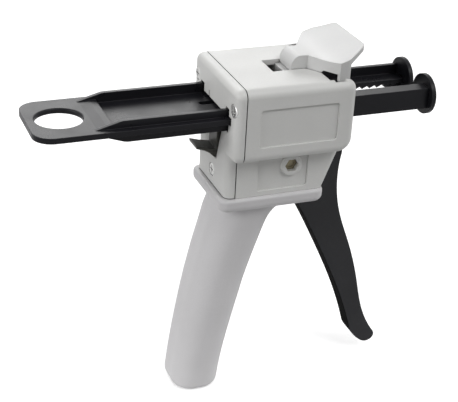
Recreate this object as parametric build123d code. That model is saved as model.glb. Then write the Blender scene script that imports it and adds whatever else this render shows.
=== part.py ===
from build123d import *
import os
from math import atan2, degrees

# Hand-held dispensing tool for twin-barrel cartridges. Millimetres.
# The origin lies on the cartridge seat, midway between the two piston axes.
# +X is the way the paste leaves, +Z is up, and the side at -Y carries the pivot nut.

# Moulded casing
SEAM_X = -41.0
FRONT_X = 10.4
BODY_WIDTH = 53.0
BODY_TOP = 16.2
BODY_BOTTOM = -17.6
WALL = 2.6
EDGE_ROUND = 3.8
FRONT_TOP_ROUND = 4.4
FRONT_BOTTOM_ROUND = 6.5
NECK_WIDTH = 36.4
NECK_FRONT_TOP = 9.0
NECK_FRONT_BOTTOM = 1.4
NECK_ROUND = 2.4
COLLAR_TOP = -37.8
PANEL_DEPTH = 0.8
PANEL_ROUND = 1.4
SIDE_PANEL = (-34.7, 2.0, -10.4, 7.0)
NECK_PANEL_X = (-31.0, -6.9)
NECK_PANEL_FOOT = 2.3

# Cartridge seat
SEAT_WALL = 3.2
BARREL_PITCH = 21.6
PISTON_RADIUS = 9.25
PISTON_THICK = 2.3
PISTON_GAP = 0.35
FLANGE_SLOT = 5.4
FLANGE_WIDTH = 48.6
FLANGE_FLOOR = -12.8
BARREL_WAY_RADIUS = 11.6
LEVER_SLOT_BACK = 1.8
LEVER_SLOT_WIDTH = 45.0
LEVER_SLOT_FLOOR = 10.5

# Opening on top for the lock lever
TOP_OPENING_BACK = -21.9
TOP_OPENING_HALF = 6.9

# Rear cover
COVER_THICK = 4.8
COVER_EDGE_ROUND = 3.2
COVER_FOOT_GAP = 0.4
SEAM_GAP = 0.45
SEAM_DEPTH = 1.3
THUMB_SCOOP_HALF = 16.0
THUMB_SCOOP_DEPTH = 2.7
THUMB_SCOOP_BOTTOM = -23.6
THUMB_SCOOP_TOP = -6.0

# Screws
SCREW_RADIUS = 1.45
SCREW_HEAD_RADIUS = 3.0
SCREW_HEAD_HEIGHT = 1.9
SCREW_SINK = 1.95
SCREW_LENGTH = 13.0
SCREW_GAP = 0.1
BOSS_RADIUS = 3.1
COVER_SCREW_EDGE = 4.0
COVER_SCREW_Z = 6.6
LOW_SCREW_Z = -31.0
HANDLE_SCREW_X = -5.0
HANDLE_SCREW_Y = 12.5

# Plunger
PLUNGER_WIDTH = 33.2
RAIL_THICK = 2.0
RAIL_TOP = 4.8
RAIL_BOTTOM = -4.9
WEB_TOP = 0.4
WEB_THICK = 1.8
RING_PLATE_WIDTH = 39.6
RING_PLATE_TOP = 1.6
RING_PLATE_THICK = 2.5
RING_END_X = -129.5
RING_HOLE_X = -115.3
RING_HOLE_RADIUS = 10.2
RING_CORNER = 8.5
RAMP_START_X = -104.0
RAMP_END_X = -92.4
STOP_PAD_FRONT_X = -95.5
STOP_PAD_LENGTH = 7.5
STOP_PAD_RAMP = 4.5
STOP_PAD_TOP = 2.1
RIB_FRONT_X = -36.0
ROD_GAP = 14.0
ROD_GAP_BACK_X = -44.0
RELIEF_SLOT_TIP_X = -52.0
RELIEF_SLOT_WIDTH = 3.6
RELIEF_SLOT_Y = 3.0
ROD_CAP_WIDTH = 6.4
ROD_CAP_BACK_X = 14.3
RACK_WIDTH = 2.2
TOOTH_PITCH = 3.84
TOOTH_DEPTH = 1.4
TOOTH_COUNT = 30
RACK_FRONT_X = 48.8
PISTON_FRONT_X = 54.0
SLIDE_GAP = 0.6
WEB_SLOT_GAP = 1.1
STUB_LENGTH = 7.6

# Trigger and its axle
PIVOT_X = -15.0
PIVOT_Z = -24.3
TRIGGER_HALF = 5.0
TRIGGER_HUB_RADIUS = 8.0
TRIGGER_SLOT_GAP = 0.7
BOLT_RADIUS = 2.0
BUSH_RADIUS = 4.0
BUSH_HALF = 10.5
RUNNING_GAP = 0.05
PIVOT_BOSS_RADIUS = 4.9
PIVOT_RING_HEIGHT = 0.8
PIVOT_BOSS_GAP = 0.1
NUT_ACROSS = 5.5
NUT_HEIGHT = 2.4
NUT_SINK = 1.6
BOLT_HEAD_RADIUS = 3.4
BOLT_HEAD_HEIGHT = 2.0
HUB_SLEEVE_RADIUS = 6.4

# Drive pawl on the trigger's upper arm
PAWL_X = -20.5
PAWL_Z = -12.0
PAWL_PIN_RADIUS = 1.5
PAWL_CHEEK_GAP = 0.4
PAWL_CHEEK_THICK = 2.2
PAWL_TIP_X = -17.5
PAWL_TIP_Z = -3.7
ARM_END_RADIUS = 4.0

# Release lever, which is also the catch that holds the rack
CATCH_X = -37.0
CATCH_Z = -9.6
CATCH_HALF = 4.8
CATCH_PIN_RADIUS = 1.4
CATCH_HUB_RADIUS = 3.0
CATCH_NOSE_X = -29.6
CATCH_NOSE_Z = -3.6
CATCH_EAR_GAP = 0.4
CATCH_EAR_THICK = 2.2
STEM_THICK = 2.2
STEM_FOOT = -22.9
TAB_END_X = -55.3

# Lock lever
LEVER_X = -8.2
LEVER_Z = 14.0
LEVER_HUB_HALF = 6.5
LEVER_TRUNNION_RADIUS = 1.6
LEVER_TRUNNION_LENGTH = 2.6
LEVER_TOP = 22.2
LEVER_SKIN = 2.2
LEVER_FOOT = 17.4
LEVER_FLARE_FOOT = 15.2
LEVER_LEG_FOOT = 14.0
LEVER_TAIL = 7.2
LEVER_LEG_BACK = 3.4
LEVER_LEG_THICK = 2.2
LEVER_LEG_ROUND = 2.6
LEVER_SHOULDER_HALF = 21.0
LEVER_FRONT_X = 8.6
LEVER_TAB_X = 17.3
LEVER_TAB_Z = 28.2
LEVER_TAB_HALF = 15.2
LEVER_TAB_ROUND = 3.0
LEVER_TAB_THICK = 2.6

# Springs
TRIGGER_SPRING_WIRE = 1.0
TRIGGER_SPRING_TURNS = 3
PAWL_SPRING_WIRE = 0.6
PAWL_SPRING_TURNS = 2.5
CATCH_SPRING_WIRE = 0.7
CATCH_SPRING_TURNS = 5
CATCH_SPRING_RADIUS = 2.1
SPRING_GAP = 0.35

# Handle
COLLAR_BACK_X = -48.3
COLLAR_FRONT_X = 2.0
COLLAR_WIDTH = 40.4
COLLAR_THICK = 6.6
COLLAR_CORNER = 4.4
COLLAR_UNDER_ROUND = 3.4
COLLAR_TOP_ROUND = 1.3
HANDLE_FOOT = -142.1
HANDLE_FOOT_ROUND = 3.2
HANDLE_ROUNDNESS = 0.86
HANDLE_SLOT_BACK_X = -21.4
HANDLE_SLOT_FOOT = -57.0

# Handle cross-sections at even steps down from the first height: back, front and half width
HANDLE_FIRST_Z = -43.0
HANDLE_STEP = 7.0
HANDLE_SECTIONS = (
    (-46.8, -6.0, 17.6),
    (-47.1, -16.4, 15.6),
    (-48.8, -20.5, 15.2),
    (-50.6, -22.9, 15.0),
    (-52.4, -25.3, 14.9),
    (-54.0, -27.5, 14.7),
    (-55.5, -29.6, 14.6),
    (-56.9, -31.3, 14.5),
    (-58.2, -33.0, 14.3),
    (-59.3, -34.7, 14.2),
    (-60.4, -36.3, 14.1),
    (-61.4, -37.8, 14.0),
    (-62.3, -39.1, 13.8),
    (-63.1, -40.1, 13.7),
    (-63.9, -41.0, 13.6),
    (-64.6, -41.9, 13.5),
)

# Trigger outline in X and Z
TRIGGER_FRONT = ((16.8, -29.0), (15.8, -40.0), (18.4, -58.7), (25.4, -77.8), (32.1, -99.8), (36.6, -117.0),
                 (40.4, -125.6), (44.6, -132.2))
TRIGGER_TIP = ((44.6, -132.2), (44.8, -135.6), (42.0, -137.6), (35.8, -135.0), (30.9, -128.6))
TRIGGER_REAR = ((30.9, -128.6), (22.1, -103.8), (10.0, -78.1), (-3.6, -52.6), (-14.2, -37.0), (-21.6, -28.8))
TRIGGER_TOP = ((-21.6, -28.8), (-22.4, -26.0), (-15.0, -16.6), (-8.0, -19.4), (6.0, -20.0), (12.8, -21.0))
TRIGGER_NOSE = ((12.8, -21.0), (15.9, -24.0), (16.8, -29.0))
TRIGGER_EDGE_ROUND = 0.6

# Places worked out from the sizes above
BODY_HALF = BODY_WIDTH / 2
NECK_HALF = NECK_WIDTH / 2
NECK_INNER = NECK_HALF - WALL
COVER_X = SEAM_X - COVER_THICK
BARREL_Y = BARREL_PITCH / 2
PLUNGER_HALF = PLUNGER_WIDTH / 2
RAIL_INNER = PLUNGER_HALF - RAIL_THICK
WEB_BOTTOM = WEB_TOP - WEB_THICK
RING_HALF = RING_PLATE_WIDTH / 2
RING_PLATE_BOTTOM = RING_PLATE_TOP - RING_PLATE_THICK
ROD_END_X = PISTON_FRONT_X - PISTON_THICK
TOOTH_TIP_Z = WEB_BOTTOM - TOOTH_DEPTH
RACK_OUTER = ROD_GAP / 2 + RACK_WIDTH
NOSE_HALF = RACK_OUTER - 0.2
FLOOR_TOP = BODY_BOTTOM + WALL
CEILING = BODY_TOP - WALL
PAWL_CHEEK_INNER = TRIGGER_HALF + PAWL_CHEEK_GAP
PAWL_CHEEK_OUTER = PAWL_CHEEK_INNER + PAWL_CHEEK_THICK
CATCH_EAR_INNER = CATCH_HALF + CATCH_EAR_GAP
CATCH_EAR_OUTER = CATCH_EAR_INNER + CATCH_EAR_THICK
COLLAR_BOTTOM = COLLAR_TOP - COLLAR_THICK
COVER_SCREW_Y = BODY_HALF - COVER_SCREW_EDGE
COVER_SCREW_PLACES = ((-COVER_SCREW_Y, COVER_SCREW_Z), (COVER_SCREW_Y, COVER_SCREW_Z), (0.0, LOW_SCREW_Z))
LEVER_END = LEVER_HUB_HALF + LEVER_TRUNNION_LENGTH


def block(x0, x1, y0, y1, z0, z1):
    """Plain block between two corners."""
    middle = Pos((x0 + x1) / 2, (y0 + y1) / 2, (z0 + z1) / 2)
    return middle * Box(x1 - x0, y1 - y0, z1 - z0)


def rod_along_y(x, z, radius, y0, y1):
    """Cylinder along Y from y0 to y1."""
    return Pos(x, (y0 + y1) / 2, z) * Rot(90, 0, 0) * Cylinder(radius, y1 - y0)


def rod_along_x(y, z, radius, x0, x1):
    """Cylinder along X from x0 to x1."""
    return Pos((x0 + x1) / 2, y, z) * Rot(0, 90, 0) * Cylinder(radius, x1 - x0)


def rod_along_z(x, y, radius, z0, z1):
    """Cylinder along Z from z0 to z1."""
    return Pos(x, y, (z0 + z1) / 2) * Cylinder(radius, z1 - z0)


def slab(outline, y0, y1):
    """Slab with a side outline, drawn in X and Z, between two Y places."""
    return Pos(0, (y0 + y1) / 2, 0) * extrude(Plane.XZ * outline, amount=(y1 - y0) / 2, both=True)


def outline_of(*points):
    """Closed outline with straight sides."""
    return make_face(Polyline(*points, close=True))


def rounded(outline, places, radius):
    """Rounds the outline's corners that lie at the given places."""
    corners = []
    for corner in outline.vertices():
        if any((corner.X - x) ** 2 + (corner.Y - y) ** 2 < 0.01 for x, y in places):
            corners.append(corner)
    return fillet(corners, radius)


def write(name, shape):
    """Writes one node."""
    shape.label = name
    export_step(shape, f"parts/{name}.step")


def upper_casing():
    """Outer form of the upper box, with its long edges rounded right round to the front."""
    corners = ((SEAM_X, BODY_BOTTOM), (FRONT_X, BODY_BOTTOM), (FRONT_X, BODY_TOP), (SEAM_X, BODY_TOP))
    side = outline_of(*corners)
    side = rounded(side, (corners[1],), FRONT_BOTTOM_ROUND)
    side = rounded(side, (corners[2],), FRONT_TOP_ROUND)
    solid = slab(side, -BODY_HALF, BODY_HALF)
    long_edges = []
    for face in (solid.faces().sort_by(Axis.Y)[0], solid.faces().sort_by(Axis.Y)[-1]):
        long_edges += [edge for edge in face.edges() if edge.center().X > SEAM_X + 0.1]
    return fillet(long_edges, EDGE_ROUND)


def neck_outline(inset):
    """Side outline of the neck, drawn in from its front by inset."""
    return outline_of(
        (SEAM_X, BODY_BOTTOM + inset),
        (NECK_FRONT_TOP - inset, BODY_BOTTOM + inset),
        (NECK_FRONT_BOTTOM - inset, COLLAR_TOP),
        (SEAM_X, COLLAR_TOP),
    )


def neck():
    """Outer form of the neck below the box."""
    solid = slab(neck_outline(0), -NECK_HALF, NECK_HALF)
    front = solid.edges().filter_by(lambda e: e.center().X > 0 and abs(abs(e.center().Y) - NECK_HALF) < 0.01
                                    and e.center().Z < BODY_BOTTOM - 1)
    front = [edge for edge in front if edge.length > 10 and edge.center().Z > COLLAR_TOP + 5]
    return fillet(front, NECK_ROUND)


def side_panels():
    """Shallow sunk panels on both sides of the box and of the neck."""
    x0, x1, z0, z1 = SIDE_PANEL
    upper = Pos((x0 + x1) / 2, (z0 + z1) / 2) * RectangleRounded(x1 - x0, z1 - z0, PANEL_ROUND)
    x0, x1 = NECK_PANEL_X
    z0 = COLLAR_TOP + NECK_PANEL_FOOT
    z1 = BODY_BOTTOM
    lower = Pos((x0 + x1) / 2, (z0 + z1) / 2) * RectangleRounded(x1 - x0, z1 - z0, PANEL_ROUND)
    ring = Pos(PIVOT_X, PIVOT_Z) * Circle(PIVOT_BOSS_RADIUS)
    cuts = []
    for side in (-1, 1):
        for outline, half in ((upper, BODY_HALF), (lower - ring, NECK_HALF)):
            y0, y1 = sorted((side * (half - PANEL_DEPTH), side * (half + 1)))
            cuts.append(slab(outline, y0, y1))
    return cuts


def top_opening():
    """Opening for the lock lever: a channel that flares out to the front."""
    half = TOP_OPENING_HALF
    flare = ThreePointArc((-7.2, half), (-4.1, 10.1), (-LEVER_SLOT_BACK, 13.6))
    flare_back = ThreePointArc((-LEVER_SLOT_BACK, -13.6), (-4.1, -10.1), (-7.2, -half))
    front = Polyline((-LEVER_SLOT_BACK, 13.6), (1, 13.6), (1, -13.6), (-LEVER_SLOT_BACK, -13.6))
    back = Polyline((-7.2, -half), (TOP_OPENING_BACK, -half), (TOP_OPENING_BACK, half), (-7.2, half))
    plan = make_face([flare, front, flare_back, back])
    return Pos(0, 0, CEILING - 0.3) * extrude(plan, WALL + 2)


def barrel_way():
    """Opening in the front wall that the two barrels drop into from above."""
    x0 = FLANGE_SLOT - 1
    x1 = FRONT_X + 1
    half = BARREL_Y + BARREL_WAY_RADIUS
    way = block(x0, x1, -half, half, 0, BODY_TOP + 1)
    for side in (-1, 1):
        way += rod_along_x(side * BARREL_Y, 0, BARREL_WAY_RADIUS, x0, x1)
    return way


def main_housing():
    """Casing of the box and the neck, open at the back, at the neck's foot and front, and on top."""
    body = upper_casing() + neck()
    body -= block(SEAM_X - 1, -SEAT_WALL, -(BODY_HALF - WALL), BODY_HALF - WALL, FLOOR_TOP, CEILING)
    neck_hollow = slab(neck_outline(WALL), -NECK_INNER, NECK_INNER)
    inside = -NECK_INNER, NECK_INNER, COLLAR_TOP - 1, BODY_BOTTOM
    neck_hollow = neck_hollow & block(SEAM_X - 1, FRONT_X, *inside)
    body -= block(SEAM_X - 1, NECK_FRONT_BOTTOM - WALL, *inside)
    body -= neck_hollow
    body -= block(-35.8, -SEAT_WALL - 1, -NECK_INNER + 2, NECK_INNER - 2, BODY_BOTTOM - 1, FLOOR_TOP + 1)
    slot_half = TRIGGER_HALF + TRIGGER_SLOT_GAP
    body -= block(-10, FRONT_X + 2, -slot_half, slot_half, COLLAR_TOP - 1, BODY_BOTTOM)
    for cut in side_panels():
        body -= cut
    body -= top_opening()
    half = FLANGE_WIDTH / 2
    body -= block(0, FLANGE_SLOT, -half, half, FLANGE_FLOOR, BODY_TOP + 1)
    half = LEVER_SLOT_WIDTH / 2
    body -= block(-LEVER_SLOT_BACK, 1, -half, half, LEVER_SLOT_FLOOR, BODY_TOP + 1)
    body -= barrel_way()
    for side in (-1, 1):
        hole_radius = PISTON_RADIUS + PISTON_GAP
        body -= rod_along_x(side * BARREL_Y, 0, hole_radius, -SEAT_WALL - 1, 1)
    body = add_screw_bosses(body)
    body = add_pivot_bosses(body)
    body = add_catch_ears(body)
    return add_lever_ears(body)


def add_screw_bosses(body):
    """Bosses and pilot holes for the cover screws and the handle screws."""
    end = SEAM_X + SCREW_LENGTH
    hole = SCREW_RADIUS + SCREW_GAP
    inside = BODY_HALF - WALL + 0.5
    inner_box = block(SEAM_X, end, -inside, inside, FLOOR_TOP, CEILING)
    for y, z in COVER_SCREW_PLACES:
        if z < BODY_BOTTOM:
            bar_end = SEAM_X + SCREW_LENGTH - 3
            body += block(SEAM_X, bar_end, -NECK_INNER - 1, NECK_INNER + 1, z - BOSS_RADIUS, z + BOSS_RADIUS)
        else:
            wall_side = (1 if y > 0 else -1) * (BODY_HALF - WALL + 0.5)
            body += rod_along_x(y, z, BOSS_RADIUS, SEAM_X, end) & inner_box
            y0, y1 = sorted((y, wall_side))
            body += block(SEAM_X, end, y0, y1, z - BOSS_RADIUS, z + BOSS_RADIUS)
        body -= rod_along_x(y, z, hole, SEAM_X - 1, end + 1)
    for side in (-1, 1):
        y = side * HANDLE_SCREW_Y
        height = COLLAR_TOP + SCREW_LENGTH - 2
        body += rod_along_z(HANDLE_SCREW_X, y, BOSS_RADIUS, COLLAR_TOP, height)
        y0, y1 = sorted((y, side * (NECK_INNER + 0.5)))
        body += block(HANDLE_SCREW_X - BOSS_RADIUS, HANDLE_SCREW_X + BOSS_RADIUS, y0, y1, COLLAR_TOP, height)
        body -= rod_along_z(HANDLE_SCREW_X, y, hole, COLLAR_TOP - 1, COLLAR_TOP + SCREW_LENGTH - 4)
    return body


def add_pivot_bosses(body):
    """Bosses that carry the trigger's axle, with the hexagon for the nut on the near side."""
    inner = BUSH_HALF + PIVOT_BOSS_GAP
    for side in (-1, 1):
        y0, y1 = sorted((side * inner, side * (NECK_HALF - PANEL_DEPTH - 0.1)))
        body += rod_along_y(PIVOT_X, PIVOT_Z, PIVOT_BOSS_RADIUS, y0, y1)
        y0, y1 = sorted((side * (NECK_INNER + 0.2), side * (NECK_HALF + PIVOT_RING_HEIGHT)))
        ring = rod_along_y(PIVOT_X, PIVOT_Z, PIVOT_BOSS_RADIUS, y0, y1)
        rim = ring.edges().sort_by(Axis.Y)[0 if side < 0 else -1]
        body += fillet(rim, PIVOT_RING_HEIGHT / 2)
    body -= rod_along_y(PIVOT_X, PIVOT_Z, BOLT_RADIUS + RUNNING_GAP, -BODY_HALF, BODY_HALF)
    hexagon = Pos(PIVOT_X, PIVOT_Z) * RegularPolygon((NUT_ACROSS + 0.2) / 2, 6, major_radius=False)
    body -= slab(hexagon, -BODY_HALF, -NECK_HALF + NUT_SINK + NUT_HEIGHT)
    head_depth = BOLT_HEAD_HEIGHT + 0.4
    head_hole = BOLT_HEAD_RADIUS + SCREW_GAP
    body -= rod_along_y(PIVOT_X, PIVOT_Z, head_hole, NECK_HALF - head_depth, BODY_HALF)
    return body


def add_catch_ears(body):
    """Two ears on the floor that carry the pin of the release lever, and the seat of its spring."""
    ear = outline_of((CATCH_X - 3, FLOOR_TOP - 1), (CATCH_X + 3, FLOOR_TOP - 1), (CATCH_X + 3, CATCH_Z),
                     (CATCH_X, CATCH_Z + 3), (CATCH_X - 3, CATCH_Z))
    for side in (-1, 1):
        y0, y1 = sorted((side * CATCH_EAR_INNER, side * CATCH_EAR_OUTER))
        body += slab(ear, y0, y1)
    return body - rod_along_y(CATCH_X, CATCH_Z, CATCH_PIN_RADIUS + 0.02, -BODY_HALF + WALL, BODY_HALF - WALL)


def add_lever_ears(body):
    """Two ears under the top wall with the sockets for the lock lever's trunnions."""
    back, front = LEVER_X - 7.0, LEVER_X + 2.1
    ear = outline_of((back, CEILING + 0.5), (back, 10.4), (back + 1.6, 8.8), (front - 1.4, 8.8),
                     (front, 10.2), (front, 12.6), (LEVER_X + 1.0, CEILING - 0.2),
                     (LEVER_X + 1.0, CEILING + 0.5))
    for side in (-1, 1):
        y0, y1 = sorted((side * TOP_OPENING_HALF, side * (LEVER_END + 1.2)))
        body += slab(ear, y0, y1)
    hole = LEVER_TRUNNION_RADIUS + RUNNING_GAP
    return body - rod_along_y(LEVER_X, LEVER_Z, hole, -LEVER_END - 0.2, LEVER_END + 0.2)


def cover_outline():
    """The T that closes the back of the box and the neck, seen from behind."""
    top, side, foot = BODY_TOP, BODY_HALF, COLLAR_TOP - 10
    half = [(side, top), (side, BODY_BOTTOM), (NECK_HALF, BODY_BOTTOM), (NECK_HALF, foot)]
    outline = outline_of(*half, *[(-y, z) for y, z in reversed(half)])
    outer = [(s * side, z) for s in (-1, 1) for z in (top, BODY_BOTTOM)]
    return rounded(outline, outer, EDGE_ROUND)


def plunger_slot_outline():
    """The H-shaped hole of the plunger, with its notches for the outer ribs."""
    rail = PLUNGER_HALF + SLIDE_GAP + 0.4
    inner = RAIL_INNER - SLIDE_GAP - 0.6
    high = RAIL_TOP + SLIDE_GAP
    low = RAIL_BOTTOM - SLIDE_GAP
    hole = Pos(0, (high + low) / 2) * Rectangle(2 * rail, high - low)
    web_high = WEB_TOP + WEB_SLOT_GAP
    web_low = TOOTH_TIP_Z - SLIDE_GAP
    hole -= Pos(0, (high + 1 + web_high) / 2) * Rectangle(2 * inner, high + 1 - web_high)
    hole -= Pos(0, (low - 1 + web_low) / 2) * Rectangle(2 * inner, web_low - low + 1)
    notch_high = RING_PLATE_TOP + SLIDE_GAP
    notch_low = RING_PLATE_BOTTOM - SLIDE_GAP
    middle = Pos(0, (notch_high + notch_low) / 2)
    hole += middle * Rectangle(2 * (RING_HALF + 0.6), notch_high - notch_low)
    hole -= Pos(0, (web_high + high) / 2 + 0.2) * Rectangle(2 * inner, high - web_high)
    slit = Pos(ROD_GAP / 2, web_high + 1.4) * Rectangle(1.0, 3.0)
    return hole + slit


def rear_cover():
    """Cover with rounded edges, the plunger's slot, the way for the release lever and a thumb scoop."""
    cover = extrude(Plane.YZ.offset(COVER_X) * cover_outline(), amount=COVER_THICK)
    back = cover.faces().sort_by(Axis.X)[0]
    edges = [edge for edge in back.edges() if edge.center().Z > COLLAR_TOP - 9.5]
    cover = fillet(edges, COVER_EDGE_ROUND)
    foot = COLLAR_TOP + COVER_FOOT_GAP
    cover -= block(COVER_X - 1, SEAM_X + 1, -BODY_HALF, BODY_HALF, COLLAR_TOP - 12, foot)
    cover -= extrude(Plane.YZ.offset(COVER_X - 1) * plunger_slot_outline(), amount=COVER_THICK + 2)
    half = CATCH_HALF + 0.6
    cover -= block(COVER_X - 1, SEAM_X + 1, -half, half, CATCH_Z - 0.4, 0)
    cover -= block(COVER_X - 1, COVER_X + STEM_THICK + SLIDE_GAP, -half, half, STEM_FOOT - SLIDE_GAP, CATCH_Z)
    radius = (THUMB_SCOOP_HALF**2 + THUMB_SCOOP_DEPTH**2) / (2 * THUMB_SCOOP_DEPTH)
    lean = degrees(atan2(THUMB_SCOOP_DEPTH, THUMB_SCOOP_TOP - THUMB_SCOOP_BOTTOM))
    scoop = Pos(COVER_X, 0, THUMB_SCOOP_BOTTOM) * Rot(0, lean, 0) * rod_along_z(-radius, 0, radius, -5, 40)
    scoop_top = RAIL_BOTTOM - SLIDE_GAP + 0.1
    cover -= scoop & block(COVER_X - 2, SEAM_X, -BODY_HALF, BODY_HALF, THUMB_SCOOP_BOTTOM, scoop_top)
    ring = cover_outline() - offset(cover_outline(), -SEAM_DEPTH)
    cover -= extrude(Plane.YZ.offset(SEAM_X - SEAM_GAP) * ring, amount=SEAM_GAP + 1)
    for y, z in COVER_SCREW_PLACES:
        cover -= rod_along_x(y, z, SCREW_HEAD_RADIUS + SCREW_GAP, COVER_X - 1, COVER_X + SCREW_SINK)
        cover -= rod_along_x(y, z, SCREW_RADIUS + SCREW_GAP, COVER_X, SEAM_X + 1)
    return cover


def screw():
    """Flat-headed screw along +Z from its head's underside, with a cross recess."""
    body = rod_along_z(0, 0, SCREW_HEAD_RADIUS, -SCREW_HEAD_HEIGHT, 0)
    body = fillet(body.edges().sort_by(Axis.Z)[0], 0.6)
    body += rod_along_z(0, 0, SCREW_RADIUS, -0.1, SCREW_LENGTH - 3)
    for turn in (0, 90):
        body -= Rot(0, 0, turn) * block(-2, 2, -0.4, 0.4, -SCREW_HEAD_HEIGHT - 1, -SCREW_HEAD_HEIGHT + 1.1)
    return body


def cover_screws():
    """The three screws that hold the rear cover."""
    seat = COVER_X + SCREW_SINK
    return Compound([Pos(seat, y, z) * Rot(0, 90, 0) * screw() for y, z in COVER_SCREW_PLACES])


def handle_screws():
    """The two screws that hold the handle's collar up to the neck."""
    seat = COLLAR_BOTTOM + SCREW_SINK
    return Compound([Pos(HANDLE_SCREW_X, side * HANDLE_SCREW_Y, seat) * screw() for side in (-1, 1)])


def ring_plate():
    """Flat plate of the plunger with the finger hole, narrowed at its corners."""
    length = RIB_FRONT_X - RING_END_X
    plan = Pos(RING_END_X + length / 2, 0) * Rectangle(length, RING_PLATE_WIDTH)
    plan = rounded(plan, ((RING_END_X, RING_HALF), (RING_END_X, -RING_HALF)), RING_CORNER)
    plan -= Pos(RING_HOLE_X, 0) * Circle(RING_HOLE_RADIUS)
    middle = (STOP_PAD_FRONT_X + RIB_FRONT_X) / 2 + 1
    plan -= Pos(middle, 0) * Rectangle(RIB_FRONT_X - STOP_PAD_FRONT_X + 2, 2 * RAIL_INNER)
    plate = Pos(0, 0, RING_PLATE_BOTTOM) * extrude(plan, RING_PLATE_THICK)
    round_edges = plate.edges().filter_by(GeomType.CIRCLE)
    return fillet(round_edges.filter_by(lambda e: abs(e.radius - RING_HOLE_RADIUS) < 0.01), 0.8)


def rail_outline():
    """Side outline of a rail, which swells out of the ring plate above and below."""
    foot = RAMP_END_X + 1.5
    start = RAMP_START_X + 1
    points = (
        (RAMP_START_X, RING_PLATE_TOP), (RAMP_END_X, RAIL_TOP), (ROD_END_X, RAIL_TOP),
        (ROD_END_X, RAIL_BOTTOM), (foot, RAIL_BOTTOM), (start, RING_PLATE_BOTTOM),
        (RAMP_START_X, RING_PLATE_BOTTOM),
    )
    outline = outline_of(*points)
    return rounded(outline, (points[1], points[4]), 9)


def rack(side):
    """Saw-toothed rack under one edge of the web; the steep flanks face backwards."""
    back = RACK_FRONT_X - TOOTH_COUNT * TOOTH_PITCH
    points = [(back, WEB_TOP - 0.5), (back, WEB_BOTTOM)]
    for number in range(TOOTH_COUNT):
        x = back + number * TOOTH_PITCH
        points += [(x + 0.5, WEB_BOTTOM), (x + 0.5, TOOTH_TIP_Z), (x + TOOTH_PITCH - 0.4, WEB_BOTTOM)]
    points += [(RACK_FRONT_X, WEB_BOTTOM), (RACK_FRONT_X, WEB_TOP - 0.5)]
    y0, y1 = sorted((side * ROD_GAP / 2, side * RACK_OUTER))
    return slab(outline_of(*points), y0, y1)


def plunger():
    """Fork with the finger ring, two tall rails, the web between them and the two toothed rods."""
    body = ring_plate()
    web_back = STOP_PAD_FRONT_X - STOP_PAD_LENGTH
    web = block(web_back, ROD_END_X, -RAIL_INNER, RAIL_INNER, WEB_BOTTOM, WEB_TOP)
    web -= block(ROD_GAP_BACK_X, ROD_END_X + 1, -ROD_GAP / 2, ROD_GAP / 2, WEB_BOTTOM - 1, WEB_TOP + 1)
    tip = RELIEF_SLOT_TIP_X + RELIEF_SLOT_WIDTH / 2
    relief = block(tip, ROD_GAP_BACK_X + 1, RELIEF_SLOT_Y - RELIEF_SLOT_WIDTH / 2,
                   RELIEF_SLOT_Y + RELIEF_SLOT_WIDTH / 2, WEB_BOTTOM - 1, WEB_TOP + 1)
    relief += rod_along_z(tip, RELIEF_SLOT_Y, RELIEF_SLOT_WIDTH / 2, WEB_BOTTOM - 1, WEB_TOP + 1)
    web -= relief
    body += web
    pad = outline_of((web_back, WEB_BOTTOM), (STOP_PAD_FRONT_X, WEB_BOTTOM), (STOP_PAD_FRONT_X, STOP_PAD_TOP),
                     (web_back + STOP_PAD_RAMP, STOP_PAD_TOP), (web_back, RING_PLATE_TOP))
    body += slab(pad, -RAIL_INNER, RAIL_INNER)
    for side in (-1, 1):
        y0, y1 = sorted((side * RAIL_INNER, side * PLUNGER_HALF))
        body += slab(rail_outline(), y0, y1)
        body += rack(side)
    cap_inner = -PLUNGER_HALF + ROD_CAP_WIDTH
    cap = block(ROD_CAP_BACK_X, ROD_END_X, -PLUNGER_HALF, cap_inner, RAIL_TOP - RAIL_THICK, RAIL_TOP)
    return body + cap


def piston_disc(side):
    """Round piston with a stub that clips into the rod's channel under the web."""
    disc = rod_along_x(side * BARREL_Y, 0, PISTON_RADIUS, ROD_END_X, PISTON_FRONT_X)
    disc = fillet(disc.edges().sort_by(Axis.X)[-1], 0.5)
    y0, y1 = sorted((side * (RACK_OUTER + 0.15), side * (RAIL_INNER - 0.15)))
    stub = block(ROD_END_X - STUB_LENGTH, ROD_END_X, y0, y1, RAIL_BOTTOM + 0.3, WEB_BOTTOM - 0.1)
    return disc + stub


def trigger_outline():
    """Side outline of the trigger, from its hub down to the hooked finger end."""
    return make_face([Spline(*TRIGGER_FRONT), Spline(*TRIGGER_TIP), Spline(*TRIGGER_REAR),
                      Polyline(*TRIGGER_TOP), ThreePointArc(*TRIGGER_NOSE)])


def trigger():
    """Trigger with its hub, the sleeve that carries it sideways and the upper arm for the pawl."""
    hub = Pos(PIVOT_X, PIVOT_Z) * Circle(TRIGGER_HUB_RADIUS)
    end = Pos(PAWL_X, PAWL_Z) * Circle(ARM_END_RADIUS)
    arm = outline_of((PIVOT_X - 7.6, PIVOT_Z - 1), (PAWL_X - ARM_END_RADIUS, PAWL_Z),
                     (PAWL_X + ARM_END_RADIUS, PAWL_Z), (PIVOT_X + 6, PIVOT_Z + 5))
    outline = trigger_outline() + hub + end + arm
    body = slab(outline, -TRIGGER_HALF, TRIGGER_HALF)
    sides = body.faces().filter_by(Axis.Y)
    edges = [edge for face in sides for edge in face.edges() if edge.center().Z < TRIGGER_FRONT[0][1]]
    body = fillet(edges, TRIGGER_EDGE_ROUND)
    body += rod_along_y(PIVOT_X, PIVOT_Z, HUB_SLEEVE_RADIUS, 0, BUSH_HALF - 0.2)
    body -= rod_along_y(PIVOT_X, PIVOT_Z, BUSH_RADIUS + RUNNING_GAP, -BODY_HALF, BODY_HALF)
    return body - rod_along_y(PAWL_X, PAWL_Z, PAWL_PIN_RADIUS + 0.02, -BODY_HALF, BODY_HALF)


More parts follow.
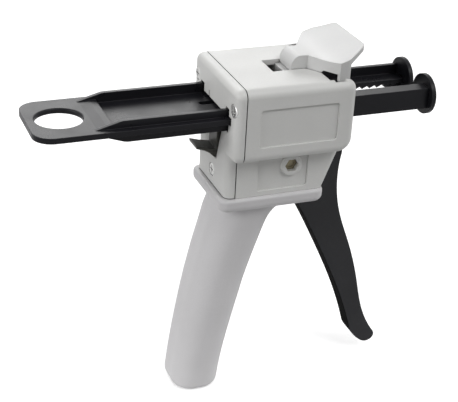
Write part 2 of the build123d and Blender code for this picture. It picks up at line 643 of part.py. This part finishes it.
def trigger_bush():
    """Sleeve between the bosses that the trigger turns on."""
    body = rod_along_y(PIVOT_X, PIVOT_Z, BUSH_RADIUS, -BUSH_HALF, BUSH_HALF)
    return body - rod_along_y(PIVOT_X, PIVOT_Z, BOLT_RADIUS + 0.03, -BODY_HALF, BODY_HALF)


def pivot_bolt():
    """Axle of the trigger, with a slotted head on the far side."""
    seat = NECK_HALF - BOLT_HEAD_HEIGHT - 0.4
    top = seat + BOLT_HEAD_HEIGHT
    body = rod_along_y(PIVOT_X, PIVOT_Z, BOLT_HEAD_RADIUS, seat, top)
    body -= block(PIVOT_X - 4, PIVOT_X + 4, top - 0.8, NECK_HALF, PIVOT_Z - 0.5, PIVOT_Z + 0.5)
    return body + rod_along_y(PIVOT_X, PIVOT_Z, BOLT_RADIUS, -NECK_HALF + NUT_SINK + 0.4, seat + 0.1)


def pivot_nut():
    """Hexagon nut sunk in the ring boss on the near side."""
    hexagon = Pos(PIVOT_X, PIVOT_Z) * RegularPolygon(NUT_ACROSS / 2, 6, major_radius=False)
    hexagon -= Pos(PIVOT_X, PIVOT_Z) * Circle(BOLT_RADIUS + 0.03)
    return slab(hexagon, -NECK_HALF + NUT_SINK, -NECK_HALF + NUT_SINK + NUT_HEIGHT)


def torsion_spring(x, z, radius, wire, turns, y_start, direction, legs):
    """Coil about Y that starts at y_start, with straight legs at the angles in legs."""
    pitch = wire * 1.12
    coil = Helix(pitch, turns * pitch, radius)
    section = Plane(origin=coil @ 0, z_dir=coil % 0) * Circle(wire / 2)
    body = sweep(section, path=coil)
    for place, length in legs:
        start = coil @ place
        heading = coil % place
        if place == 0:
            heading = heading * -1
        leg_plane = Plane(origin=start, z_dir=heading)
        body += extrude(leg_plane * Circle(wire / 2 * 0.98), amount=length)
    turned = Rot(90 * direction, 0, 0) * body
    return Pos(x, y_start, z) * turned


def trigger_spring():
    """Torsion spring beside the trigger's hub."""
    radius = BUSH_RADIUS + SPRING_GAP + TRIGGER_SPRING_WIRE / 2
    start = -TRIGGER_HALF - TRIGGER_SPRING_WIRE / 2 - SPRING_GAP - 0.1
    legs = ((0, 9.0), (1, 8.0))
    return torsion_spring(PIVOT_X, PIVOT_Z, radius, TRIGGER_SPRING_WIRE, TRIGGER_SPRING_TURNS, start, 1, legs)


def pawl_outline():
    """Side outline of the pawl's cheeks and tip."""
    return outline_of(
        (PAWL_X - 3.2, PAWL_Z - 1.6), (PAWL_X - 3.4, PAWL_Z + 2.0), (PAWL_TIP_X - 4.6, PAWL_TIP_Z - 3.0),
        (PAWL_TIP_X - 2.2, PAWL_TIP_Z - 0.4), (PAWL_TIP_X, PAWL_TIP_Z), (PAWL_TIP_X + 0.3, PAWL_TIP_Z - 3.8),
        (PAWL_X + 3.3, PAWL_Z + 1.0), (PAWL_X + 2.6, PAWL_Z - 2.2), (PAWL_X, PAWL_Z - 3.3),
    )


def drive_pawl():
    """Pawl that straddles the trigger's arm and reaches both racks."""
    body = slab(pawl_outline(), -PAWL_CHEEK_OUTER, PAWL_CHEEK_OUTER)
    hollow = Pos(PAWL_X, PAWL_Z) * Circle(ARM_END_RADIUS + 0.5)
    hollow += Pos(PAWL_X, PAWL_Z - 5) * Rectangle(12, 10)
    body -= slab(hollow, -PAWL_CHEEK_INNER, PAWL_CHEEK_INNER)
    top = pawl_outline() & (Pos(PAWL_TIP_X, PAWL_TIP_Z - 1.4) * Rectangle(14, 3.6))
    body += slab(top, -NOSE_HALF, NOSE_HALF)
    return body - rod_along_y(PAWL_X, PAWL_Z, PAWL_PIN_RADIUS + RUNNING_GAP, -BODY_HALF, BODY_HALF)


def pawl_pin():
    """Pin of the pawl in the trigger's arm."""
    return rod_along_y(PAWL_X, PAWL_Z, PAWL_PIN_RADIUS, -PAWL_CHEEK_OUTER - 2.8, PAWL_CHEEK_OUTER + 0.6)


def pawl_spring():
    """Small torsion spring on the pawl's pin."""
    radius = PAWL_PIN_RADIUS + SPRING_GAP + PAWL_SPRING_WIRE / 2
    start = -PAWL_CHEEK_OUTER - PAWL_SPRING_WIRE / 2 - 0.2
    legs = ((0, 4.0), (1, 4.0))
    return torsion_spring(PAWL_X, PAWL_Z, radius, PAWL_SPRING_WIRE, PAWL_SPRING_TURNS, start, 1, legs)


def release_lever():
    """Catch with its nose under the racks and a thumb tab behind the cover."""
    stem_back = COVER_X
    stem_front = COVER_X + STEM_THICK
    points = (
        (CATCH_X - 1.0, CATCH_Z + 3.0), (stem_back + 1.2, CATCH_Z + 3.4), (stem_back, CATCH_Z + 2.2),
        (stem_back, -18.8), (-50.9, -17.9), (TAB_END_X, -16.6), (TAB_END_X + 0.2, -17.9),
        (-51.2, -19.1), (-49.0, -20.4), (stem_back - 0.6, STEM_FOOT), (stem_front, STEM_FOOT + 1.4),
        (stem_front, CATCH_Z + 1.0), (CATCH_X - 1.5, CATCH_Z - 1.0), (CATCH_X, CATCH_Z - 2.2),
        (CATCH_NOSE_X - 4.0, CATCH_NOSE_Z - 4.0), (CATCH_NOSE_X + 0.3, CATCH_NOSE_Z - 3.4),
        (CATCH_NOSE_X, CATCH_NOSE_Z), (CATCH_NOSE_X - 2.4, CATCH_NOSE_Z - 0.6),
        (CATCH_NOSE_X - 3.9, CATCH_NOSE_Z - 2.2), (CATCH_X + 1.4, CATCH_Z + 2.9),
    )
    outline = outline_of(*points) + Pos(CATCH_X, CATCH_Z) * Circle(CATCH_HUB_RADIUS)
    body = slab(outline, -CATCH_HALF, CATCH_HALF)
    nose = outline_of(*points) & (Pos(CATCH_NOSE_X - 1.6, CATCH_NOSE_Z - 2) * Rectangle(4.6, 5))
    body += slab(nose, -NOSE_HALF, NOSE_HALF)
    return body - rod_along_y(CATCH_X, CATCH_Z, CATCH_PIN_RADIUS + RUNNING_GAP, -BODY_HALF, BODY_HALF)


def release_pin():
    """Pin of the release lever, held in the two ears."""
    return rod_along_y(CATCH_X, CATCH_Z, CATCH_PIN_RADIUS, -CATCH_EAR_OUTER - 0.3, CATCH_EAR_OUTER + 0.3)


def release_spring():
    """Compression spring that lifts the catch's nose into the racks."""
    x = CATCH_NOSE_X - 2.0
    foot = FLOOR_TOP + CATCH_SPRING_WIRE / 2 + 0.02
    height = (CATCH_NOSE_Z - 4.0) - foot - CATCH_SPRING_WIRE / 2 - 0.1
    coil = Helix(height / CATCH_SPRING_TURNS, height, CATCH_SPRING_RADIUS)
    section = Plane(origin=coil @ 0, z_dir=coil % 0) * Circle(CATCH_SPRING_WIRE / 2)
    return Pos(x, 0, foot) * sweep(section, path=coil)


def lever_plan(inset):
    """Plan of the lock lever: a narrow hub that flares out to the shoulders and a tapering tab."""
    hub = LEVER_HUB_HALF - inset
    shoulder = LEVER_SHOULDER_HALF - inset
    tab = LEVER_TAB_HALF - inset
    back = LEVER_X - LEVER_TAIL
    flare_back = LEVER_X + 2.6 + inset
    flare_front = 3.6 + inset * 0.4
    end = LEVER_TAB_X - inset
    halves = []
    for side in (-1, 1):
        flare = ThreePointArc((flare_back, side * hub), (-1.5 + inset, side * (13.4 - inset)),
                              (flare_front, side * shoulder))
        shoulder_line = Polyline((flare_front, side * shoulder),
                                 (LEVER_FRONT_X - 0.6 - inset, side * shoulder), (end, side * tab))
        halves += [Line((back, side * hub), (flare_back, side * hub)), flare, shoulder_line]
    ends = [Line((back, -hub), (back, hub)), Line((end, -tab), (end, tab))]
    plan = make_face(halves + ends)
    plan = rounded(plan, ((end, -tab), (end, tab)), LEVER_TAB_ROUND)
    front = LEVER_FRONT_X - 0.6 - inset
    return rounded(plan, ((front, -shoulder), (front, shoulder)), LEVER_LEG_ROUND)


def lever_side():
    """Side outline of the lock lever: round hub, flat deck and the raised thumb tab."""
    hub_back = ThreePointArc((LEVER_X - 3.4, LEVER_Z - 0.6), (LEVER_X - 4.9, LEVER_Z + 4.6),
                             (LEVER_X - 1.4, LEVER_TOP))
    deck = Spline((LEVER_X - 1.4, LEVER_TOP), (2.6, LEVER_TOP + 0.3), (8.3, LEVER_TOP + 2.1),
                  (15.6, LEVER_TAB_Z - 0.8), (LEVER_TAB_X, LEVER_TAB_Z), tangents=((1, 0), (0.9, 0.42)))
    under = Polyline((LEVER_TAB_X, LEVER_TAB_Z), (LEVER_TAB_X + 0.4, LEVER_TAB_Z - 1.3),
                     (LEVER_TAB_X - 0.6, LEVER_TAB_Z - LEVER_TAB_THICK), (LEVER_FRONT_X, LEVER_TOP - 0.4),
                     (LEVER_FRONT_X, LEVER_FOOT), (-1.2, LEVER_FOOT), (-2.0, LEVER_FLARE_FOOT),
                     (LEVER_X + 2.4, LEVER_FLARE_FOOT), (LEVER_X + 2.4, LEVER_Z - 1.9))
    hub_foot = ThreePointArc((LEVER_X + 2.4, LEVER_Z - 1.9), (LEVER_X, LEVER_Z - 3.1),
                             (LEVER_X - 3.4, LEVER_Z - 0.6))
    tail = outline_of((LEVER_X - LEVER_TAIL, LEVER_Z + 0.4), (LEVER_X - 3.0, LEVER_Z + 0.8),
                      (LEVER_X - 1.0, LEVER_Z - 2.9), (LEVER_X - LEVER_TAIL + 0.5, LEVER_Z - 3.2))
    return make_face([hub_back, deck, under, hub_foot]) + tail


def lock_lever():
    """Lever that folds down over the cartridge flange, with trunnions moulded on its hub."""
    plan = lever_plan(0)
    body = extrude(plan, 40) & slab(lever_side(), -30, 30)
    inner = extrude(lever_plan(2.0), 40) & block(-3.6, LEVER_FRONT_X - 2, -30, 30, 0, LEVER_TOP - LEVER_SKIN)
    body -= inner
    for side in (-1, 1):
        y0, y1 = sorted((side * (LEVER_SHOULDER_HALF - LEVER_LEG_THICK), side * LEVER_SHOULDER_HALF))
        leg = block(LEVER_LEG_BACK, LEVER_FRONT_X, y0, y1, LEVER_LEG_FOOT, LEVER_FOOT + 1)
        body += leg & extrude(plan, 40)
    return body + rod_along_y(LEVER_X, LEVER_Z, LEVER_TRUNNION_RADIUS, -LEVER_END, LEVER_END)


def handle_section(z, back, front, half_width):
    """One level cross-section of the handle."""
    depth = front - back
    radius = min(depth, 2 * half_width) / 2 * HANDLE_ROUNDNESS
    return Pos((front + back) / 2, 0, z) * RectangleRounded(depth, 2 * half_width, radius)


def grip_handle():
    """Handle with the collar that closes the neck's foot."""
    sections = []
    for step, place in enumerate(HANDLE_SECTIONS):
        sections.append(handle_section(HANDLE_FIRST_Z - step * HANDLE_STEP, *place).face())
    grip = loft(sections)
    grip -= block(-100, 0, -50, 50, HANDLE_FOOT - 2 * HANDLE_STEP, HANDLE_FOOT)
    grip = fillet(grip.edges().group_by(Axis.Z)[0], HANDLE_FOOT_ROUND)
    length = COLLAR_FRONT_X - COLLAR_BACK_X
    plan = RectangleRounded(length, COLLAR_WIDTH, COLLAR_CORNER)
    plan = Pos((COLLAR_BACK_X + COLLAR_FRONT_X) / 2, 0) * plan
    collar = Pos(0, 0, COLLAR_BOTTOM) * extrude(plan, COLLAR_THICK)
    collar = fillet(collar.edges().group_by(Axis.Z)[0], COLLAR_UNDER_ROUND)
    collar = fillet(collar.edges().group_by(Axis.Z)[-1], COLLAR_TOP_ROUND)
    body = grip + collar
    half = TRIGGER_HALF + TRIGGER_SLOT_GAP
    body -= block(HANDLE_SLOT_BACK_X, COLLAR_FRONT_X + 1, -half, half, HANDLE_SLOT_FOOT, COLLAR_TOP + 1)
    for y in (-HANDLE_SCREW_Y, HANDLE_SCREW_Y):
        seat = COLLAR_BOTTOM + SCREW_SINK
        body -= rod_along_z(HANDLE_SCREW_X, y, SCREW_HEAD_RADIUS + SCREW_GAP, HANDLE_SLOT_FOOT, seat)
        body -= rod_along_z(HANDLE_SCREW_X, y, SCREW_RADIUS + SCREW_GAP, COLLAR_BOTTOM, COLLAR_TOP + 1)
    return body


def main():
    os.makedirs("parts", exist_ok=True)
    pieces = {
        "main_housing": main_housing(),
        "rear_cover": rear_cover(),
        "cover_screws": cover_screws(),
        "handle_screws": handle_screws(),
        "grip_handle": grip_handle(),
        "plunger": plunger(),
        "piston_disc_near": piston_disc(-1),
        "piston_disc_far": piston_disc(1),
        "trigger": trigger(),
        "trigger_bush": trigger_bush(),
        "pivot_bolt": pivot_bolt(),
        "pivot_nut": pivot_nut(),
        "trigger_spring": trigger_spring(),
        "drive_pawl": drive_pawl(),
        "pawl_pin": pawl_pin(),
        "pawl_spring": pawl_spring(),
        "release_lever": release_lever(),
        "release_pin": release_pin(),
        "release_spring": release_spring(),
        "lock_lever": lock_lever(),
    }
    for name, shape in pieces.items():
        write(name, shape)


main()
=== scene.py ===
import math

import bpy
from mathutils import Matrix, Vector


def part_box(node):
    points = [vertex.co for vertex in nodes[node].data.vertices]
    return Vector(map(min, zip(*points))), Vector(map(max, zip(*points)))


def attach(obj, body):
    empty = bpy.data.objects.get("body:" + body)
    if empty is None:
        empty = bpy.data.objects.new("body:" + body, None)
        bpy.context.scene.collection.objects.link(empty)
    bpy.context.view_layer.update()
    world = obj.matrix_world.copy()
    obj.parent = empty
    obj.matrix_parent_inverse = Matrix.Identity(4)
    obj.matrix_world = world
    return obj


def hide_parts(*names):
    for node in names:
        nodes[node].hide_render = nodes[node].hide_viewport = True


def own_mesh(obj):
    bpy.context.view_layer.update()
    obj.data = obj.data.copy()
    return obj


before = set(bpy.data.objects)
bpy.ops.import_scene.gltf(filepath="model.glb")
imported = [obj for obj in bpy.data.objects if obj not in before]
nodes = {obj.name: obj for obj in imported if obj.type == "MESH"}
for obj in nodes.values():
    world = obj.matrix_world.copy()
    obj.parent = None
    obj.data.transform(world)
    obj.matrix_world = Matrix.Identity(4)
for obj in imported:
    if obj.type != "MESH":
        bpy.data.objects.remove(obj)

# The dispensing tool is white and grey moulded plastic with black moving parts, on a pale floor in soft
# studio light. Every rigid piece keeps its CAD shape. Lengths are in metres.

# Camera that looks at the tool as the photograph does
CAMERA_AT = Vector((-0.2234, -0.4547, 0.2065))
CAMERA_AZIMUTH = math.radians(-22.35)
CAMERA_ELEVATION = math.radians(27.42)
CAMERA_ROLL = math.radians(3.08)
CAMERA_LENS = 94.85
CAMERA_SENSOR = 36.0

# Moulded plastic: fineness of its patterns, height of its grain and softness of its edges
CLOUD_SCALE = 26.0
SHEEN_SCALE = 60.0
SPECK_TO_GRAIN = 0.4
SPECK_SHARE = 0.35
GRAIN_STRENGTH = 0.55
PLASTIC_EDGE = 0.0005

# Painted shade in gaps and seams: the colour darkens towards a dark tone where little open sky is left
# within this reach
GAP_SHADE_REACH = 0.0017
GAP_SHADE_LEAST_SKY = 0.12
GAP_SHADE_MOST_SKY = 0.62
GAP_SHADE_SHARE = 0.95
GAP_SHADE_TONE = 0.12

# A face is turned to the rear between these two values of its normal along X; there a plastic with a rear
# share under 1 gets a darker colour as painted shade, and a matt finish
REAR_STARTS = -0.5
REAR_FULL = -0.8

# Machined metal: fineness of its lines and its tarnish, depth of the lines and softness of its edges
LINE_SCALE = 900.0
LINE_DEPTH = 0.00002
LINE_STRENGTH = 0.4
TARNISH_SCALE = 320.0
METAL_EDGE = 0.0002
METAL_EDGE_GAIN = 1.25

# Floor: its size, its gap under the handle, and its tone and glow where it is seen
FLOOR_REACH = 30.0
FLOOR_GAP = 0.0002
FLOOR_TONE = 0.95
FLOOR_ROUGHNESS = 0.9
FLOOR_GLOW = 0.5

# Light that the floor throws back falls from the near tone to the far one over these distances
BOUNCE_NEAR = 0.05
BOUNCE_FAR = 0.20
BOUNCE_NEAR_TONE = 0.85
BOUNCE_FAR_TONE = 0.12

# Strength of the even sky, as light and where it is seen
SKY_LIGHT = 0.20
SKY_SEEN = 1.0

# Broad suns: name, direction towards it, energy and spread in degrees
SUNS = (
    ("behind", (-0.93, -0.06, 0.36), 1.50, 40.0),
    ("side", (0.36, -0.55, 0.75), 1.02, 30.0),
    ("front", (0.90, -0.12, 0.30), 0.60, 50.0),
    ("beyond", (0.10, 0.88, 0.43), 1.10, 42.0),
)

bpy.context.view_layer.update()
handle_foot, handle_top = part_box("grip_handle")
FLOOR_Z = handle_foot[2] - FLOOR_GAP


class Graph:
    """Node tree of a material or of the world, with short ways to add and join nodes."""

    def __init__(self, owner):
        self.owner = owner
        owner.use_nodes = True
        self.tree = owner.node_tree
        self.tree.nodes.clear()

    def put(self, socket, value):
        """Join a socket to another node's output, or set it to a constant."""
        if isinstance(value, bpy.types.NodeSocket):
            self.tree.links.new(value, socket)
        else:
            socket.default_value = value

    def add(self, kind, inputs=None, **settings):
        node = self.tree.nodes.new(kind)
        for key, value in settings.items():
            setattr(node, key, value)
        for key, value in (inputs or {}).items():
            self.put(node.inputs[key], value)
        return node

    def noise(self, place, scale, detail=4.0, roughness=0.55):
        return self.add("ShaderNodeTexNoise", {"Vector": place, "Scale": scale, "Detail": detail,
                                               "Roughness": roughness}).outputs["Fac"]

    def span(self, value, low, high, to_low, to_high):
        return self.add("ShaderNodeMapRange", {"Value": value, "From Min": low, "From Max": high,
                                               "To Min": to_low, "To Max": to_high}).outputs["Result"]

    def mix(self, factor, first, second):
        return self.add("ShaderNodeMix", {0: factor, 6: first, 7: second}, data_type="RGBA").outputs[2]

    def larger(self, first, second):
        return self.add("ShaderNodeMath", {0: first, 1: second}, operation="MAXIMUM").outputs[0]

    def seen(self):
        """1 for rays from the camera, also by way of a reflection or a clear piece, and 0 for the rest."""
        path = self.add("ShaderNodeLightPath").outputs
        direct = self.larger(path["Is Camera Ray"], path["Is Glossy Ray"])
        return self.larger(direct, path["Is Transmission Ray"])

    def edges(self, radius, low, high):
        """How much of an edge a point is on, from 0 on a flat to 1, and the softened normal."""
        soft = self.add("ShaderNodeBevel", {"Radius": radius}, samples=6).outputs["Normal"]
        sharp = self.add("ShaderNodeNewGeometry").outputs["Normal"]
        dot = self.add("ShaderNodeVectorMath", {0: soft, 1: sharp}, operation="DOT_PRODUCT")
        return self.span(dot.outputs["Value"], high, low, 0.0, 1.0), soft

    def finish(self, **inputs):
        """Close a material with its surface shader, whose inputs are named with _ for a space."""
        shader = self.add("ShaderNodeBsdfPrincipled",
                          {key.replace("_", " "): value for key, value in inputs.items()})
        self.add("ShaderNodeOutputMaterial", {"Surface": shader.outputs["BSDF"]}, target="ALL")
        return self.owner


def rgba(colour, gain=1.0):
    return (*(min(1.0, c * gain) for c in colour), 1.0)


def grey(tone):
    return (tone, tone, tone, 1.0)


def plastic(name, colour, rough, grain=2600.0, grain_depth=0.00003, soil=0.93, edge_wear_and_highlight=1.05, shine=0.35,
            rear=1.0):
    """Moulded plastic: fine spark texture, faint cloudiness, handled sheen, edges made lighter as wear and
    as a painted highlight, and painted shade in gaps.

    soil is the share of the colour in the clouds, the edge share is the colour on the edges, made lighter
    as wear and as a painted highlight, and rear is the share of the colour that is left, as painted shade,
    on faces turned to the rear, which are matt where it is under 1.
    """
    g = Graph(bpy.data.materials.new(name))
    place = g.add("ShaderNodeTexCoord").outputs["Object"]
    cloud = g.noise(place, CLOUD_SCALE, 5.0)
    speck = g.noise(place, grain * SPECK_TO_GRAIN, 2.0)
    edge, soft = g.edges(PLASTIC_EDGE, 0.80, 0.985)
    base = g.mix(g.span(cloud, 0.35, 0.7, 0.0, 1.0), rgba(colour), rgba(colour, soil))
    base = g.mix(g.span(speck, 0.35, 0.65, 0.0, SPECK_SHARE), base, rgba(colour, soil))
    # Edges take a lighter colour, as wear and as a painted highlight
    base = g.mix(edge, base, rgba(colour, edge_wear_and_highlight))
    # Painted shade: the colour darkens where the ambient occlusion finds little open sky, in gaps and seams
    sky = g.add("ShaderNodeAmbientOcclusion", {"Distance": GAP_SHADE_REACH}, samples=12).outputs["AO"]
    painted_gap_shade = g.span(sky, GAP_SHADE_LEAST_SKY, GAP_SHADE_MOST_SKY, GAP_SHADE_SHARE, 0.0)
    base = g.mix(painted_gap_shade, base, rgba(colour, GAP_SHADE_TONE))
    sheen = g.noise(place, SHEEN_SCALE, 6.0, 0.62)
    roughness = g.span(sheen, 0.3, 0.7, rough - 0.06, rough + 0.07)
    # Painted shade: faces turned to the rear get a darker colour, and a matt finish
    if rear < 1.0:
        normal = g.add("ShaderNodeTexCoord").outputs["Normal"]
        along = g.add("ShaderNodeSeparateXYZ", {"Vector": normal}).outputs["X"]
        backwards = g.span(along, REAR_STARTS, REAR_FULL, 0.0, 1.0)
        base = g.mix(backwards, base, rgba(colour, rear))
        roughness = g.larger(roughness, backwards)
    bump = g.add("ShaderNodeBump", {"Strength": GRAIN_STRENGTH, "Distance": grain_depth,
                                    "Height": g.noise(place, grain, 3.0), "Normal": soft})
    return g.finish(Base_Color=base, Roughness=roughness, Specular_IOR_Level=shine,
                    Normal=bump.outputs["Normal"])


def metal(name, colour, rough, stretch, dull=0.7):
    """Machined or drawn metal with fine lines, tarnish in patches and bright edges."""
    g = Graph(bpy.data.materials.new(name))
    place = g.add("ShaderNodeTexCoord").outputs["Object"]
    lines = g.add("ShaderNodeMapping", {"Vector": place, "Scale": stretch}).outputs["Vector"]
    streak = g.noise(lines, LINE_SCALE, 4.0)
    patch = g.noise(place, TARNISH_SCALE, 4.0)
    edge, soft = g.edges(METAL_EDGE, 0.8, 0.98)
    base = g.mix(g.span(patch, 0.4, 0.7, 0.0, 1.0), rgba(colour), rgba(colour, dull))
    base = g.mix(edge, base, rgba(colour, METAL_EDGE_GAIN))
    roughness = g.span(streak, 0.3, 0.7, rough - 0.08, rough + 0.1)
    bump = g.add("ShaderNodeBump", {"Strength": LINE_STRENGTH, "Distance": LINE_DEPTH, "Height": streak,
                                    "Normal": soft})
    return g.finish(Base_Color=base, Metallic=1.0, Roughness=roughness, Normal=bump.outputs["Normal"])


def dress():
    """Give every CAD node its finish. Pins, screws and the bush are plain steel."""
    casing = plastic("casing_white", (0.77, 0.77, 0.753), 0.42)
    lever_white = plastic("lever_white", (0.68, 0.68, 0.675), 0.34, grain=1800.0, grain_depth=0.00002)
    handle_grey = plastic("handle_grey", (0.70, 0.69, 0.70), 0.44)
    # The black plastics get lighter edges as wear and as a painted highlight, and the trigger gets painted
    # shade on its rear faces
    plunger_dark = plastic("plunger_dark", (0.013, 0.013, 0.016), 0.3, soil=0.8, edge_wear_and_highlight=1.8, shine=0.15)
    trigger_dark = plastic("trigger_dark", (0.044, 0.044, 0.047), 0.36, soil=0.8, edge_wear_and_highlight=2.2, shine=0.08,
                           rear=0.05)
    catch_dark = plastic("catch_dark", (0.055, 0.055, 0.046), 0.38, soil=0.8, edge_wear_and_highlight=1.5)
    steel = metal("steel", (0.70, 0.70, 0.69), 0.42, (1.0, 1.0, 12.0), dull=0.85)
    # Dark brass for the nut and the bolt's end in its recess: the tone is partly the brass's own and partly
    # painted shade for the recess
    brass_and_recess_shade = metal("nut_brass", (0.235, 0.21, 0.145), 0.5, (1.0, 8.0, 1.0))
    wire = metal("spring_wire", (0.5, 0.5, 0.52), 0.3, (6.0, 6.0, 1.0))
    looks = {
        "main_housing": casing, "rear_cover": casing, "grip_handle": handle_grey, "lock_lever": lever_white,
        "plunger": plunger_dark, "piston_disc_near": plunger_dark, "piston_disc_far": plunger_dark,
        "trigger": trigger_dark, "release_lever": catch_dark, "pivot_nut": brass_and_recess_shade, "pivot_bolt": brass_and_recess_shade,
        "trigger_spring": wire, "pawl_spring": wire, "release_spring": wire,
    }
    for name, node in nodes.items():
        node.data.materials.clear()
        node.data.materials.append(looks.get(name, steel))


def release_coil():
    """Spring of the release lever, copied in its CAD place and attached to the casing, while the CAD node
    is hidden.
    """
    coil = bpy.data.objects.new("release_coil", nodes["release_spring"].data.copy())
    bpy.context.scene.collection.objects.link(coil)
    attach(coil, "casing")
    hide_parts("release_spring")
    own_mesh(coil)


def stage():
    """Pale floor that keeps the tool's shadow and throws less light back further out."""
    corners = [(-FLOOR_REACH, -FLOOR_REACH, FLOOR_Z), (FLOOR_REACH, -FLOOR_REACH, FLOOR_Z),
               (FLOOR_REACH, FLOOR_REACH, FLOOR_Z), (-FLOOR_REACH, FLOOR_REACH, FLOOR_Z)]
    mesh = bpy.data.meshes.new("floor")
    mesh.from_pydata(corners, [], [(0, 1, 2, 3)])
    floor = bpy.data.objects.new("floor", mesh)
    bpy.context.scene.collection.objects.link(floor)
    g = Graph(bpy.data.materials.new("floor_white"))
    place = g.add("ShaderNodeTexCoord").outputs["Object"]
    middle = (handle_foot + handle_top) / 2
    away = g.add("ShaderNodeVectorMath", {0: place, 1: (middle.x, middle.y, FLOOR_Z)}, operation="DISTANCE")
    fade = g.span(away.outputs["Value"], BOUNCE_NEAR, BOUNCE_FAR, 0.0, 1.0)
    bounce = g.mix(fade, grey(BOUNCE_NEAR_TONE), grey(BOUNCE_FAR_TONE))
    colour = g.mix(g.seen(), bounce, grey(FLOOR_TONE))
    camera_ray = g.add("ShaderNodeLightPath").outputs["Is Camera Ray"]
    mesh.materials.append(g.finish(Base_Color=colour, Roughness=FLOOR_ROUGHNESS, Emission_Color=grey(1.0),
                                   Emission_Strength=g.span(camera_ray, 0.0, 1.0, 0.0, FLOOR_GLOW)))


def light():
    """An even sky, and broad suns behind the tool, at its near side, before it and beyond it."""
    world = bpy.data.worlds.new("studio")
    bpy.context.scene.world = world
    g = Graph(world)
    strength = g.span(g.seen(), 0.0, 1.0, SKY_LIGHT, SKY_SEEN)
    sky = g.add("ShaderNodeBackground", {"Color": grey(1.0), "Strength": strength})
    g.add("ShaderNodeOutputWorld", {"Surface": sky.outputs["Background"]})
    for name, towards, energy, spread in SUNS:
        lamp = bpy.data.lights.new(name, "SUN")
        lamp.energy = energy
        lamp.angle = math.radians(spread)
        item = bpy.data.objects.new(name, lamp)
        item.rotation_euler = Vector(towards).to_track_quat("Z", "Y").to_euler()
        bpy.context.scene.collection.objects.link(item)


def camera():
    """Camera at the photograph's viewing angle."""
    azimuth, tilt, roll = CAMERA_AZIMUTH, CAMERA_ELEVATION, CAMERA_ROLL
    back = Vector((math.sin(azimuth) * math.cos(tilt), -math.cos(azimuth) * math.cos(tilt), math.sin(tilt)))
    level = Vector((math.cos(azimuth), math.sin(azimuth), 0.0))
    upright = back.cross(level)
    right = math.cos(roll) * level + math.sin(roll) * upright
    up = -math.sin(roll) * level + math.cos(roll) * upright
    lens = bpy.data.cameras.new("camera")
    lens.sensor_fit = "HORIZONTAL"
    lens.sensor_width = CAMERA_SENSOR
    lens.lens = CAMERA_LENS
    item = bpy.data.objects.new("camera", lens)
    item.matrix_world = Matrix.Translation(CAMERA_AT) @ Matrix((right, up, back)).transposed().to_4x4()
    bpy.context.scene.collection.objects.link(item)
    bpy.context.scene.camera = item


dress()
release_coil()
stage()
light()
camera()
bpy.context.scene.view_settings.view_transform = "Standard"
